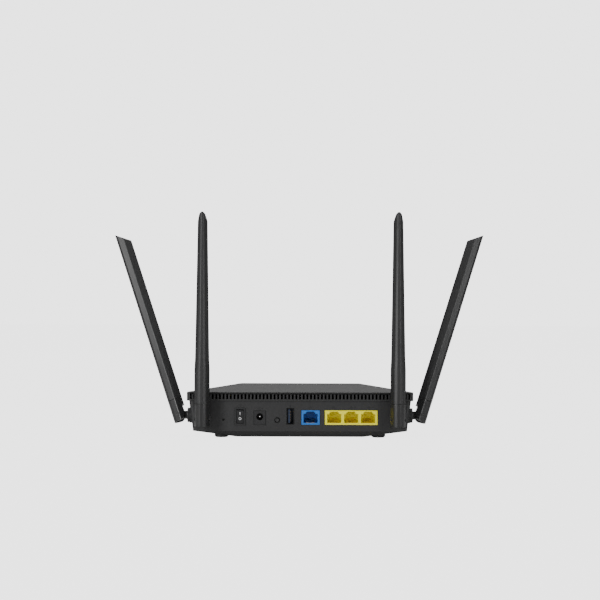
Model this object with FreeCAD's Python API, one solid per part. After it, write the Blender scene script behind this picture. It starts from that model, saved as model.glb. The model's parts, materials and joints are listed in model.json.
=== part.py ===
"""Wireless router with four hinged antennas, one STEP file for each sub-part.

Millimetres, +Z up. The case is modelled with y = 0 at the outer face of the rear
panel and z = 0 at the soles of the feet. Everything is then shifted along Y so that
the origin is the centre of the bottom of the whole object's box.
"""
import FreeCAD, Part
import math
import os
from FreeCAD import Vector

# ---- driving dimensions: case ----
COVER_DEPTH = 130.0          # top cover, front to rear
COVER_REAR_WIDTH = 190.0
COVER_FRONT_WIDTH = 112.0
CASE_TOP = 38.0              # top surface above the feet's soles
COVER_SKIRT = 7.2            # height of the cover's side band
COVER_PLATE = 1.9            # thickness of the cover's top plate
COVER_CORNER = 4.0
COVER_EDGE = 0.8             # rounding of the cover's top edge
OVERHANG = 1.6               # the cover stands this far outside the lower case
WALL = 2.0
SEAT_MARGIN = 0.3            # the skirt reaches this far inside the lower case's wall
WALL_LEAN = 3.2              # inset of the lower case's side walls at their foot
KEEL_TOP = 5.8               # where the walls end and the sloping underside begins
UNDERSIDE = 0.8              # flat of the underside above the feet's soles
FLAT_REAR_MARGIN = 40.5      # the underside's flat, in from the cover's rear corners
FLAT_FRONT_MARGIN = 28.0     # and in from its front corners
FLAT_REAR_INSET = 4.0
FLAT_FRONT_INSET = 12.0
CASE_CORNER = 3.0
LEAST_CORNER = 1.5           # of the hollow, whatever the wall
INNER_CORNER = 1.0
RIB_HEIGHT = 1.0             # locating rib on the lower case, inside the skirt
RIB_THICKNESS = 1.2
RIB_FIT = 0.15

# ---- ventilation ----
SLOT_COUNT = 61
SLOT_PITCH = 3.0
SLOT_WIDTH = 1.6
SLOT_HEIGHT = 4.0
GROOVE_HEIGHT = 1.1          # shadow groove along the tops of the slots
GROOVE_DEPTH = 2.4
GROOVE_MARGIN = 4.0          # its ends from the cover's rear corners
FLOOR_SLOT_ROWS = (-38.0, -62.0, -86.0)
FLOOR_SLOT_COUNT = 11
FLOOR_SLOT_PITCH = 5.0
FLOOR_SLOT_WIDTH = 2.0
FLOOR_SLOT_LENGTH = 14.0

# ---- feet, wall hooks, screws ----
FOOT_RADIUS = 5.8
FOOT_REAR_MARGIN = 29.7      # in from the cover's rear corner
FOOT_REAR_Y = -11.0
FOOT_FRONT_MARGIN = 31.42    # in from the cover's side
FOOT_FRONT_INSET = 21.4      # behind the cover's front edge
FOOT_STAND = 0.7             # rubber standing proud of its boss
FOOT_SEAT = 0.9              # depth of the rubber in its boss
FOOT_RIM = 0.8
HOOK_SPACING = 76.0
HOOK_Y = -40.0
HOOK_HEAD_RADIUS = 3.75
HOOK_NECK = 4.0
HOOK_NECK_LENGTH = 8.0
LABEL_SIZE = (44.0, 22.0)
LABEL_THICKNESS = 0.15
LABEL_INSET = 24.4           # its middle behind the cover's front edge
POST_REAR_MARGIN = 14.72     # in from the cover's side
POST_REAR_Y = -31.0
POST_FRONT_MARGIN = 19.52
POST_FRONT_INSET = 18.4
POST_RADIUS = 3.5
POST_TOP = 14.0
SCREW_RADIUS = 1.3
SCREW_HEAD_RADIUS = 2.6
SCREW_HEAD = 2.0
SCREW_HOLE_CLEARANCE = 0.3
HEAD_CLEARANCE = 0.4
SCREW_LENGTH = 14.0
SCREW_RECESS = 2.0           # the heads bear this far above the floor's inner face
DRIVER_SLOT = (3.2, 0.8)     # length and width of each arm of the cross
DRIVER_DEPTH = 0.6           # of the head's height

# ---- main board ----
BOARD_TOP = 10.2
BOARD_THICKNESS = 1.6
BOARD_REAR = -2.4
BOARD_FRONT_INSET = 28.4     # behind the cover's front edge
BOARD_REAR_MARGIN = 27.0     # in from the cover's rear corners
BOARD_FRONT_MARGIN = 12.0    # in from the cover's front corners
BOARD_CORNER = 2.0
BOARD_SCREW_REAR = (14.0, -36.0)         # in from the board's rear corner, and y
BOARD_SCREW_FRONT = (6.0, 8.0)           # in from its front corner, each way
STANDOFF_RADIUS = 3.0
BOARD_SCREW_LENGTH = 5.0
BOARD_SCREW_HEAD = 1.4
PROCESSOR = (-8.0, -58.0)
CHIP_SIZE = (14.0, 14.0, 1.4)
PAD_THICKNESS = 0.6
SINK_SIZE = 30.0
SINK_BASE = 2.0
FIN_HEIGHT = 9.0
FIN_COUNT = 8
FIN_THICKNESS = 1.2
SHIELDS = ((38.0, -58.0, 26.0, 22.0), (-38.0, -60.0, 24.0, 26.0))
SHIELD_HEIGHT = 3.0
MEMORIES = ((14.0, -38.0, 8.0, 10.0), (-30.0, -88.0, 8.0, 6.0))
MEMORY_HEIGHT = 1.2
CAPACITORS = ((28.0, -24.0), (37.0, -24.0), (24.0, -34.0))
CAPACITOR_RADIUS = 3.15
CAPACITOR_HEIGHT = 8.0
INDUCTORS = ((47.0, -30.0), (36.0, -36.0))
INDUCTOR_SIZE = (7.0, 7.0, 4.0)
TRANSFORMER_SIZE = (12.5, 9.0, 5.5)
TRANSFORMER_Y = -24.0

# ---- indicator lights ----
LIGHTS = 6
LIGHT_PITCH = 9.0
WINDOW_INSET = 13.4          # its middle behind the cover's front edge
WINDOW_SIZE = (66.0, 7.0)
WINDOW_THICKNESS = 0.8
WINDOW_FIT = 0.1
WINDOW_CORNER = 1.5
PIPE_RADIUS = 1.2
PIPE_CLEARANCE = 0.15
PIPE_LEVEL = 28.0
LED_INSET = 4.0              # behind the board's front edge
LED_SIZE = (2.0, 1.6, 1.1)
LED_GAP = 0.4                # from a lamp up to its pipe
TIE_BAR = 2.0

# ---- connectors and controls on the rear panel: x, and heights above the soles ----
CUTOUT_CLEARANCE = 0.2
FACE_PROUD = 0.4             # connectors stand this far out of the panel
FACE_ROOT = 1.6              # their faces run this far behind it
JACK_OPENING = 11.7
JACK_PITCH = 13.97
JACK_FLOOR = 12.6
JACK_OPENING_HEIGHT = 7.5
JACK_BOTTOM = 11.2
JACK_TOP = 23.0
JACK_DEPTH = 16.0
JACK_HOLLOW = 13.0
LATCH_STEPS = ((8.0, 1.2), (6.2, 0.8))   # width and extra height of each latch step
WAN_X = -8.7
WAN_WIDTH = 15.0
LAN_X = -42.2
LAN_PORTS = 3
LAN_WIDTH = 43.4
CONTACTS = 8
CONTACT_PITCH = 1.02
CONTACT_SIZE = 0.4
CONTACT_RISE = 2.4
CONTACT_SETBACK = 1.6        # bend of each wire behind the face
CONTACT_NOSE = (0.5, 0.1)    # run and rise of the bend's upper side
USB_X = 8.0
USB_Z = 18.1
USB_WIDTH = 5.8
USB_HEIGHT = 13.1
USB_WALL = 0.34
USB_DEPTH = 14.0
USB_TONGUE = (1.84, 11.1)
USB_TONGUE_GAP = 0.66
USB_TONGUE_RECESS = 1.3
USB_BACK = 1.0               # back wall of the shell
USB_TONGUE_ROOT = 3.0
USB_LEG = (3.0, 2.0)         # place and width of the legs, from the back
USB_STRIPS = (-3.5, -1.0, 1.0, 3.5)      # heights of the contacts about the middle
USB_STRIP_WIDTH = 1.0
USB_STRIP_THICKNESS = 0.2
USB_STRIP_MARGIN = 0.8       # short of the tongue's tip
DC_X = 33.2
DC_Z = 16.8
DC_WIDTH = 9.5
DC_HEIGHT = 11.3
DC_DEPTH = 13.5
DC_HOLE_RADIUS = 2.9
DC_HOLE_RISE = 0.9
DC_HOLE_DEPTH = 9.5
DC_PIN_RADIUS = 1.0
DC_PIN_RECESS = 1.4
DC_GROOVE = (1.6, 0.6)       # width and depth of the spring's groove
DC_GROOVE_OPEN = 0.5         # the groove's cutter runs this far into the barrel
DC_GROOVE_RECESS = 2.0
DC_SPRING_WIDTH = 1.2
DC_SPRING_SHORT = 0.2        # shorter than its groove
DC_SPRING_RISE = (1.0, 0.3)  # at its middle and at its back
SWITCH_X = 49.5
SWITCH_Z = 17.9
SWITCH_WIDTH = 8.7
SWITCH_HEIGHT = 14.3
SWITCH_PROUD = 0.8
SWITCH_DEPTH = 12.0
SWITCH_BODY_INSET = 0.5      # the body behind the bezel is narrower by this a side
ROCKER_WIDTH = 6.0
ROCKER_GAP = 0.2
ROCKER_RADIUS = 5.6          # ends of the rocker, about its pivot
ROCKER_WINDOW = 11.6
ROCKER_PIVOT_Y = -1.2
ROCKER_TILT = 8.0            # each way from level
ROCKER_DISH = 0.9            # the middle of its face lies this much below the ends
ROCKER_END = 1.9             # height of the ends over the pivot
ROCKER_BELLY = 2.6
ROCKER_PIN_RADIUS = 1.0
ROCKER_PIN = 0.5
ROCKER_PIN_END = 0.1         # play at each end of the stub pins
ROCKER_WELL = 4.2            # depth of the window behind the pivot
TERMINAL = (2.4, 3.0, 0.5)   # width, length and thickness of a tab
TERMINAL_OFFSETS = (-4.5, 0.0, 4.5)
RUNNING = 0.05               # radial clearance of a running fit
WPS_X = 18.8
WPS_Z = 14.9
BUTTON_RADIUS = 1.6
BUTTON_CLEARANCE = 0.75
BUTTON_PROUD = 1.0
BUTTON_FLANGE = 1.3          # radius added by the flange behind the panel
BUTTON_FLANGE_THICKNESS = 0.8
BUTTON_STEM_RADIUS = 1.2
BUTTON_STEM = 1.8
BUTTON_TRAVEL = 0.6
BUTTON_EDGE = 0.4
RESET_X = 63.3
RESET_Z = 15.2
PINHOLE_RADIUS = 1.0
PLUNGER_RADIUS = 0.8
PLUNGER_LENGTH = 2.6
PLUNGER_TRAVEL = 0.3
PLUNGER_CLEARANCE = 0.1
PLUNGER_COVERED = 1.4        # length of the plunger inside its switch
TACT_SWITCH = (6.0, 5.0)     # width and depth of the small switches on the board
TACT_SWITCH_RISE = 3.0       # above the axis of the button

# ---- antennas: local frame x along the pin, y outward from the wall, z up ----
HUB_PIN_OUT = 7.7            # pin's axis out of the disc's outer face
HUB_DISC_RADIUS = 6.1
HUB_DISC = 1.8
HUB_DISC_EDGE = 0.5
HUB_BOSS_RADIUS = 6.5
HUB_SHAFT_RADIUS = 4.0
HUB_BORE_RADIUS = 1.1        # lead's way through the hub
TONGUE_WIDTH = 5.4
TONGUE_HEIGHT = 6.0
SLIDE_GAP = 0.2              # faces that slide past each other
CLIP_THICKNESS = 0.8
CLIP_WIDTH = 1.8
CLIP_GROOVE = 0.8            # depth of its groove
CLIP_MOUTH = 3.2
SHAFT_END = 0.8              # of the shaft, beyond the clip
REAR_BOSS = 2.3
REAR_HUB_INSET = 14.3674     # from the cover's side line, square to it
REAR_HUB_Z = 16.2
SIDE_BOSS_PROUD = 0.88       # out from the cover's side
SIDE_BOSS_DEPTH = 10.5
SIDE_HUB = (-12.0, 18.0)     # y and z
SIDE_SWIVEL = 14.5           # rest pose of the side antennas, forward of upright
SIDE_LEFT_TILT = 19.3        # rest pose, outward
SIDE_RIGHT_TILT = 18.5
HINGE_PIN_RADIUS = 1.1
HINGE_PIN_SHORT = 1.0        # sunk below the face of each cheek
CHEEK_RADIUS = 5.5           # foot of the base, about the pin
CHEEK_SETBACK = 1.5          # the inner side is cut back this far above the foot
ANTENNA_WIDTH = 12.8
BLADE_OUT = 5.0              # outer face from the pin
BLADE_IN = 7.0               # inner face from the pin
RIDGE = 1.2                  # half the outer face
SHOULDER = (3.9, 1.3)        # half width, and drop from the outer face
WAIST = 1.4                  # the widest line, inward of the pin
BACK = 4.2                   # half the inner face
SECTION_ROUNDS = (1.6, 3.0, 1.6, 1.2)    # at the ridge, shoulder, waist and back
SEAM = 12.8                  # top of the base above the pin
SEAM_GAP = 0.25
BLADE_TOP = 169.2            # tip above the pin
# Height above the pin, and how much narrower the blade is there than at its foot.
BLADE_STATIONS = ((40.8, 0.0), (48.8, 0.9), (58.8, 1.35), (172.0, 5.0))
TIP_SLANT = 38.0
TIP_CROWN = 5.0
BLADE_WALL = 1.3
TIP_SOLID = 4.0              # solid length under the slant
SPIGOT = 7.0
SPIGOT_CLEARANCE = 0.1
RADIATOR = (2.4, 0.8, 118.0)
RADIATOR_Y = -1.0
LEAD_RADIUS = 0.6
LEAD_END = 1.4               # from a clip to the end of its lead
LEAD_BEND = 0.45             # of the shorter run beside each bend
REAR_LEAD_ROUTE = ((74.0, -9.0, 15.0), (66.0, -22.0, 14.0), (61.0, -36.0, 14.0),
                   (48.0, -43.5, 11.2))
SIDE_LEAD_ROUTE = ((71.5, -14.5, 18.5), (60.0, -33.0, 20.0), (46.0, -40.0, 17.0),
                   (40.0, -43.5, 11.2))

# ---- cutting tools ----
PAST = 1.0                   # cutters run this far past the faces they open
FAR = 40.0                   # reach of a cutter that clears everything on its side
TINY = 0.01                  # tolerance for picking edges

# ---- derived ----
SLOPE = (COVER_REAR_WIDTH - COVER_FRONT_WIDTH) / 2 / COVER_DEPTH
SIDE_STRETCH = math.hypot(1, SLOPE)
SEAT = WALL + SEAT_MARGIN
COVER_REAR_Y = OVERHANG
COVER_FRONT_Y = OVERHANG - COVER_DEPTH
CASE_FRONT_Y = COVER_FRONT_Y + OVERHANG
RIM_Z = CASE_TOP - COVER_SKIRT
PLATE_Z = CASE_TOP - COVER_PLATE
FLOOR_Z = UNDERSIDE + WALL
SCREW_BEARING_Z = FLOOR_Z + SCREW_RECESS
REAR_HUB = (COVER_REAR_WIDTH / 2 - REAR_HUB_INSET * SIDE_STRETCH, REAR_HUB_Z)
SIDE_BOSS_FACE = (COVER_REAR_WIDTH / 2 + (SIDE_HUB[0] - COVER_REAR_Y) * SLOPE
                  + SIDE_BOSS_PROUD)
REAR_PIN_Y = REAR_BOSS + SLIDE_GAP + HUB_DISC + HUB_PIN_OUT
SIDE_PIN_X = SIDE_BOSS_FACE + SLIDE_GAP + HUB_DISC + HUB_PIN_OUT
SHIFT_Y = -(COVER_FRONT_Y + REAR_PIN_Y + BLADE_OUT) / 2
BOARD_BOTTOM = BOARD_TOP - BOARD_THICKNESS
BOARD_FRONT = COVER_FRONT_Y + BOARD_FRONT_INSET
BOARD_REAR_HALF = COVER_REAR_WIDTH / 2 - BOARD_REAR_MARGIN
BOARD_FRONT_HALF = COVER_FRONT_WIDTH / 2 - BOARD_FRONT_MARGIN
WINDOW_Y = COVER_FRONT_Y + WINDOW_INSET
LED_Y = BOARD_FRONT + LED_INSET
LABEL_Y = COVER_FRONT_Y + LABEL_INSET


def box(x, y, z):
    """A block between the low and high values given for each axis."""
    size = (x[1] - x[0], y[1] - y[0], z[1] - z[0])
    return Part.makeBox(*size, Vector(x[0], y[0], z[0]))


def rod(radius, start, end):
    """A round bar from one point to another."""
    a = Vector(*start)
    run = Vector(*end) - a
    return Part.makeCylinder(radius, run.Length, a, run)


def joined(shapes):
    """One solid made of several that touch."""
    return shapes[0].multiFuse(shapes[1:]).removeSplitter()


def group(shapes):
    """Separate solids that share one node."""
    return Part.makeCompound(shapes)


def polygon(points):
    """A flat face through points given as vectors."""
    return Part.Face(Part.makePolygon(points + points[:1]))


def rounded_outline(points, radii):
    """A closed wire through corners, each rounded by an arc of its own radius."""
    edges = []
    tangents = []
    for index, corner in enumerate(points):
        before = (points[index - 1] - corner).normalize()
        after = (points[(index + 1) % len(points)] - corner).normalize()
        half = before.getAngle(after) / 2
        bisector = (before + after).normalize()
        reach = radii[index] / math.tan(half)
        start = corner + before * reach
        end = corner + after * reach
        middle = corner + bisector * (radii[index] / math.sin(half) - radii[index])
        edges.append(Part.Arc(start, middle, end).toShape())
        tangents.append((start, end))
    path = []
    for index, edge in enumerate(edges):
        following = tangents[(index + 1) % len(points)][0]
        path.append(edge)
        path.append(Part.LineSegment(tangents[index][1], following).toShape())
    return Part.Wire(path)


def loft(wires):
    """A solid with straight sides from one outline to the next."""
    return Part.makeLoft(wires, True, True)


def half_width(y, inset):
    """Half the case's width at y, on a side line this far inside the cover's."""
    return COVER_REAR_WIDTH / 2 + (y - COVER_REAR_Y) * SLOPE - inset * SIDE_STRETCH


def four_sided(rear_half, front_half, rear_y, front_y, z, corner):
    """The case's plan outline at a height, wider at the rear than at the front."""
    points = [Vector(rear_half, rear_y, z), Vector(front_half, front_y, z),
              Vector(-front_half, front_y, z), Vector(-rear_half, rear_y, z)]
    return rounded_outline(points, [corner] * 4)


def case_outline(inset, rear_y, front_y, z, corner):
    """The plan outline whose sides lie a given distance inside the cover's."""
    return four_sided(half_width(rear_y, inset), half_width(front_y, inset),
                      rear_y, front_y, z, corner)


def case_body(shrink, foot_z, keel_z, rim_z):
    """The lower case's outer form, or its hollow when shrunk by the wall."""
    corner = max(CASE_CORNER - shrink, LEAST_CORNER)
    lean_y = CASE_FRONT_Y + WALL_LEAN + shrink
    keel = case_outline(OVERHANG + WALL_LEAN + shrink, -shrink, lean_y, keel_z, corner)
    rim = case_outline(OVERHANG + shrink, -shrink, CASE_FRONT_Y + shrink, rim_z, corner)
    flat = four_sided(COVER_REAR_WIDTH / 2 - FLAT_REAR_MARGIN,
                      COVER_FRONT_WIDTH / 2 - FLAT_FRONT_MARGIN, -FLAT_REAR_INSET,
                      CASE_FRONT_Y + FLAT_FRONT_INSET, foot_z, corner)
    return loft([flat, keel, rim])


def mirrored_pair(x, y):
    """A place and its mirror image on the other side of the case."""
    return [(x, y), (-x, y)]


def feet_places():
    front_y = COVER_FRONT_Y + FOOT_FRONT_INSET
    return (mirrored_pair(COVER_REAR_WIDTH / 2 - FOOT_REAR_MARGIN, FOOT_REAR_Y)
            + mirrored_pair(half_width(front_y, 0) - FOOT_FRONT_MARGIN, front_y))


def post_places():
    front_y = COVER_FRONT_Y + POST_FRONT_INSET
    return (mirrored_pair(half_width(POST_REAR_Y, 0) - POST_REAR_MARGIN, POST_REAR_Y)
            + mirrored_pair(half_width(front_y, 0) - POST_FRONT_MARGIN, front_y))


def board_screw_places():
    inward, y = BOARD_SCREW_REAR
    front_inward, front_inset = BOARD_SCREW_FRONT
    return (mirrored_pair(BOARD_REAR_HALF - inward, y)
            + mirrored_pair(BOARD_FRONT_HALF - front_inward, BOARD_FRONT + front_inset))


def lan_centres():
    """The x of each socket of the ganged block."""
    middle = (LAN_PORTS - 1) / 2
    return [LAN_X + (middle - index) * JACK_PITCH for index in range(LAN_PORTS)]


# ---- case ----

def hook_slot(x):
    """A keyhole through the floor: a round mouth for the head and a neck above it."""
    low = UNDERSIDE - PAST
    high = FLOOR_Z + PAST
    mouth = rod(HOOK_HEAD_RADIUS, (x, HOOK_Y, low), (x, HOOK_Y, high))
    end_y = HOOK_Y + HOOK_NECK_LENGTH
    neck = box((x - HOOK_NECK / 2, x + HOOK_NECK / 2), (HOOK_Y, end_y), (low, high))
    end = rod(HOOK_NECK / 2, (x, end_y, low), (x, end_y, high))
    return joined([mouth, neck, end])


def floor_slots():
    """Ventilation slots through the floor, with round ends."""
    slots = []
    reach = FLOOR_SLOT_LENGTH / 2 - FLOOR_SLOT_WIDTH / 2
    for y in FLOOR_SLOT_ROWS:
        for index in range(FLOOR_SLOT_COUNT):
            x = (index - (FLOOR_SLOT_COUNT - 1) / 2) * FLOOR_SLOT_PITCH
            sides = (x - FLOOR_SLOT_WIDTH / 2, x + FLOOR_SLOT_WIDTH / 2)
            slots.append(box(sides, (y - reach, y + reach), (0, FLOOR_Z + PAST)))
            for end in (y - reach, y + reach):
                slots.append(rod(FLOOR_SLOT_WIDTH / 2, (x, end, 0), (x, end, FLOOR_Z + PAST)))
    return slots


def panel_cutouts():
    """Openings of the rear panel, each a clearance larger than what shows in it."""
    gap = CUTOUT_CLEARANCE
    depth = (-WALL - PAST, PAST)
    jack_z = (JACK_BOTTOM - gap, JACK_TOP + gap)
    cuts = []
    for x, width in ((WAN_X, WAN_WIDTH), (LAN_X, LAN_WIDTH)):
        cuts.append(box((x - width / 2 - gap, x + width / 2 + gap), depth, jack_z))
    for x, z, width, height in (
            (USB_X, USB_Z, USB_WIDTH, USB_HEIGHT),
            (DC_X, DC_Z, DC_WIDTH, DC_HEIGHT),
            (SWITCH_X, SWITCH_Z, SWITCH_WIDTH - 2 * SWITCH_BODY_INSET,
             SWITCH_HEIGHT - 2 * SWITCH_BODY_INSET)):
        sides = (x - width / 2 - gap, x + width / 2 + gap)
        cuts.append(box(sides, depth, (z - height / 2 - gap, z + height / 2 + gap)))
    button = BUTTON_RADIUS + BUTTON_CLEARANCE
    cuts.append(rod(button, (WPS_X, depth[0], WPS_Z), (WPS_X, depth[1], WPS_Z)))
    cuts.append(rod(PINHOLE_RADIUS, (RESET_X, depth[0], RESET_Z), (RESET_X, depth[1], RESET_Z)))
    return cuts


def make_bottom_shell():
    shell = case_body(0, UNDERSIDE, KEEL_TOP, RIM_Z)
    hollow = case_body(WALL, FLOOR_Z, KEEL_TOP + WALL / 2, RIM_Z)
    solids = [shell.cut(hollow)]
    rib_inset = OVERHANG + WALL
    rib_wires = []
    for z in (RIM_Z - RIB_HEIGHT, RIM_Z + RIB_HEIGHT):
        rib_wires.append(case_outline(rib_inset, -WALL, CASE_FRONT_Y + WALL, z,
                                      INNER_CORNER))
    inner_wires = []
    inner = rib_inset + RIB_THICKNESS
    for z in (RIM_Z - RIB_HEIGHT, RIM_Z + RIB_HEIGHT):
        inner_wires.append(case_outline(inner, -WALL - RIB_THICKNESS,
                                        CASE_FRONT_Y + WALL + RIB_THICKNESS, z,
                                        INNER_CORNER))
    solids.append(loft(rib_wires).cut(loft(inner_wires)))
    inside = case_body(WALL / 2, FLOOR_Z - WALL / 2, KEEL_TOP + WALL / 2, RIM_Z)
    posts = []
    for x, y in post_places():
        posts.append(rod(POST_RADIUS, (x, y, 0), (x, y, POST_TOP)))
    for x, y in board_screw_places():
        posts.append(rod(STANDOFF_RADIUS, (x, y, 0), (x, y, BOARD_BOTTOM)))
    for post in posts:
        solids.append(post.common(inside))
    for x, y in feet_places():
        boss = rod(FOOT_RADIUS, (x, y, FOOT_STAND), (x, y, KEEL_TOP))
        solids.append(boss.cut(inside))
    bosses = side_bosses() + rear_bosses()
    shell = joined(solids + bosses)
    return shell.cut(shell_cuts())


def rear_bosses():
    """Round pads on the panel that carry the rear hubs."""
    x, z = REAR_HUB
    return [rod(HUB_BOSS_RADIUS, (side * x, -WALL, z), (side * x, REAR_BOSS, z))
            for side in (1, -1)]


def side_bosses():
    """Round pads through the leaning walls that carry the side hubs."""
    y, z = SIDE_HUB
    inner = SIDE_BOSS_FACE - SIDE_BOSS_DEPTH
    return [rod(HUB_BOSS_RADIUS, (side * inner, y, z), (side * SIDE_BOSS_FACE, y, z))
            for side in (1, -1)]


def shell_cuts():
    """Everything removed from the lower case once its bosses are on."""
    cuts = panel_cutouts() + floor_slots()
    cuts += [hook_slot(HOOK_SPACING / 2), hook_slot(-HOOK_SPACING / 2)]
    hole = SCREW_RADIUS + SCREW_HOLE_CLEARANCE
    for x, y in post_places():
        cuts.append(rod(SCREW_HEAD_RADIUS + HEAD_CLEARANCE, (x, y, -PAST),
                        (x, y, SCREW_BEARING_Z)))
        cuts.append(rod(hole, (x, y, 0), (x, y, POST_TOP + PAST)))
    for x, y in board_screw_places():
        low = BOARD_BOTTOM - BOARD_SCREW_LENGTH + BOARD_THICKNESS
        cuts.append(rod(SCREW_RADIUS, (x, y, low), (x, y, BOARD_BOTTOM + PAST)))
    for x, y in feet_places():
        seat = FOOT_STAND + FOOT_SEAT
        cuts.append(rod(FOOT_RADIUS - FOOT_RIM, (x, y, 0), (x, y, seat)))
    shaft = HUB_SHAFT_RADIUS + RUNNING
    rear_x, rear_z = REAR_HUB
    side_y, side_z = SIDE_HUB
    for side in (1, -1):
        x = side * rear_x
        cuts.append(rod(shaft, (x, -WALL - PAST, rear_z), (x, REAR_BOSS + PAST, rear_z)))
        inner = SIDE_BOSS_FACE - SIDE_BOSS_DEPTH - PAST
        cuts.append(rod(shaft, (side * inner, side_y, side_z),
                        (side * (SIDE_BOSS_FACE + PAST), side_y, side_z)))
    return cuts


def light_places():
    """The x of each indicator light."""
    return [(index - (LIGHTS - 1) / 2) * LIGHT_PITCH for index in range(LIGHTS)]


def make_top_cover():
    outline = case_outline(0, COVER_REAR_Y, COVER_FRONT_Y, RIM_Z, COVER_CORNER)
    cover = Part.Face(outline).extrude(Vector(0, 0, COVER_SKIRT))
    top_edges = [edge for edge in cover.Edges
                 if min(vertex.Z for vertex in edge.Vertexes) > CASE_TOP - TINY]
    cover = cover.makeFillet(COVER_EDGE, top_edges)
    inset = OVERHANG + SEAT
    hollow = case_outline(inset, -SEAT, CASE_FRONT_Y + SEAT, RIM_Z - PAST, INNER_CORNER)
    height = COVER_SKIRT - COVER_PLATE + PAST
    cover = cover.cut(Part.Face(hollow).extrude(Vector(0, 0, height)))
    rebate_inset = OVERHANG + WALL - RIB_FIT
    rebate = case_outline(rebate_inset, -WALL + RIB_FIT, CASE_FRONT_Y + WALL - RIB_FIT,
                          RIM_Z - PAST, INNER_CORNER)
    rebate_height = RIB_HEIGHT + RIB_FIT + PAST
    cover = cover.cut(Part.Face(rebate).extrude(Vector(0, 0, rebate_height)))
    slots = []
    for index in range(SLOT_COUNT):
        x = (index - (SLOT_COUNT - 1) / 2) * SLOT_PITCH
        slots.append(box((x - SLOT_WIDTH / 2, x + SLOT_WIDTH / 2),
                         (-SEAT - PAST, COVER_REAR_Y + PAST),
                         (PLATE_Z - SLOT_HEIGHT, PLATE_Z)))
    groove = COVER_REAR_WIDTH / 2 - GROOVE_MARGIN
    slots.append(box((-groove, groove), (COVER_REAR_Y - GROOVE_DEPTH, COVER_REAR_Y + PAST),
                     (PLATE_Z - TINY, PLATE_Z + GROOVE_HEIGHT)))
    cover = cover.cut(slots)
    bosses = [rod(POST_RADIUS, (x, y, POST_TOP), (x, y, PLATE_Z + COVER_PLATE / 2))
              for x, y in post_places()]
    cover = joined([cover] + bosses)
    cuts = [window_block(WINDOW_FIT, WINDOW_THICKNESS)]
    for x, y in post_places():
        top = SCREW_BEARING_Z + SCREW_LENGTH + PAST
        cuts.append(rod(SCREW_RADIUS, (x, y, POST_TOP - PAST), (x, y, top)))
    for x in light_places():
        cuts.append(rod(PIPE_RADIUS + PIPE_CLEARANCE, (x, WINDOW_Y, PLATE_Z - PAST),
                        (x, WINDOW_Y, CASE_TOP)))
    return cover.cut(cuts)


# ---- window and lights ----

def window_block(gap, thickness):
    """The strip let into the cover over the lights, grown by a gap all round."""
    half_x = WINDOW_SIZE[0] / 2 + gap
    half_y = WINDOW_SIZE[1] / 2 + gap
    z = CASE_TOP - thickness
    corners = [Vector(half_x, WINDOW_Y + half_y, z), Vector(half_x, WINDOW_Y - half_y, z),
               Vector(-half_x, WINDOW_Y - half_y, z), Vector(-half_x, WINDOW_Y + half_y, z)]
    outline = rounded_outline(corners, [WINDOW_CORNER] * 4)
    return Part.Face(outline).extrude(Vector(0, 0, thickness))


def make_indicator_window():
    return window_block(0, WINDOW_THICKNESS)


def make_light_guide():
    """Clear pipes from the lamps on the board up to the window, tied by two bars."""
    pieces = []
    low = BOARD_TOP + LED_SIZE[2] + LED_GAP
    pipe_top = CASE_TOP - WINDOW_THICKNESS
    for x in light_places():
        pieces.append(rod(PIPE_RADIUS, (x, LED_Y, low), (x, LED_Y, PIPE_LEVEL)))
        across = (WINDOW_Y - PIPE_RADIUS, LED_Y + PIPE_RADIUS)
        width = (x - PIPE_RADIUS, x + PIPE_RADIUS)
        pieces.append(box(width, across, (PIPE_LEVEL - PIPE_RADIUS, PIPE_LEVEL + PIPE_RADIUS)))
        pieces.append(rod(PIPE_RADIUS, (x, WINDOW_Y, PIPE_LEVEL), (x, WINDOW_Y, pipe_top)))
    ends = light_places()
    span = (ends[0] - PIPE_RADIUS, ends[-1] + PIPE_RADIUS)
    middle = (WINDOW_Y + LED_Y) / 2
    bar_z = (PIPE_LEVEL - PIPE_RADIUS, PIPE_LEVEL + PIPE_RADIUS)
    pieces.append(box(span, (middle - TIE_BAR / 2, middle + TIE_BAR / 2), bar_z))
    return joined(pieces)


def make_indicator_leds():
    width, depth, height = LED_SIZE
    return group([box((x - width / 2, x + width / 2), (LED_Y - depth / 2, LED_Y + depth / 2),
                      (BOARD_TOP, BOARD_TOP + height)) for x in light_places()])


# ---- feet, label, screws ----

def make_rubber_feet():
    return group([rod(FOOT_RADIUS - FOOT_RIM, (x, y, 0), (x, y, FOOT_STAND + FOOT_SEAT))
                  for x, y in feet_places()])


def make_rating_label():
    width, depth = LABEL_SIZE
    return box((-width / 2, width / 2), (LABEL_Y - depth / 2, LABEL_Y + depth / 2),
               (UNDERSIDE - LABEL_THICKNESS, UNDERSIDE))


def screw(x, y, bearing_z, up, length, head, head_radius):
    """A screw whose head bears at bearing_z, with its shank up or down from there."""
    shank = rod(SCREW_RADIUS, (x, y, bearing_z), (x, y, bearing_z + up * length))
    cap = rod(head_radius, (x, y, bearing_z), (x, y, bearing_z - up * head))
    deep = bearing_z - up * head
    cross = []
    for across in (DRIVER_SLOT, DRIVER_SLOT[::-1]):
        z = sorted((deep, deep + up * head * DRIVER_DEPTH))
        cross.append(box((x - across[0] / 2, x + across[0] / 2),
                         (y - across[1] / 2, y + across[1] / 2), z))
    return joined([shank, cap]).cut(cross)


def make_case_screws():
    return group([screw(x, y, SCREW_BEARING_Z, 1, SCREW_LENGTH, SCREW_HEAD, SCREW_HEAD_RADIUS)
                  for x, y in post_places()])


def make_board_screws():
    return group([screw(x, y, BOARD_TOP, -1, BOARD_SCREW_LENGTH, BOARD_SCREW_HEAD,
                        SCREW_HEAD_RADIUS) for x, y in board_screw_places()])


# ---- board and what stands on it ----

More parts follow.
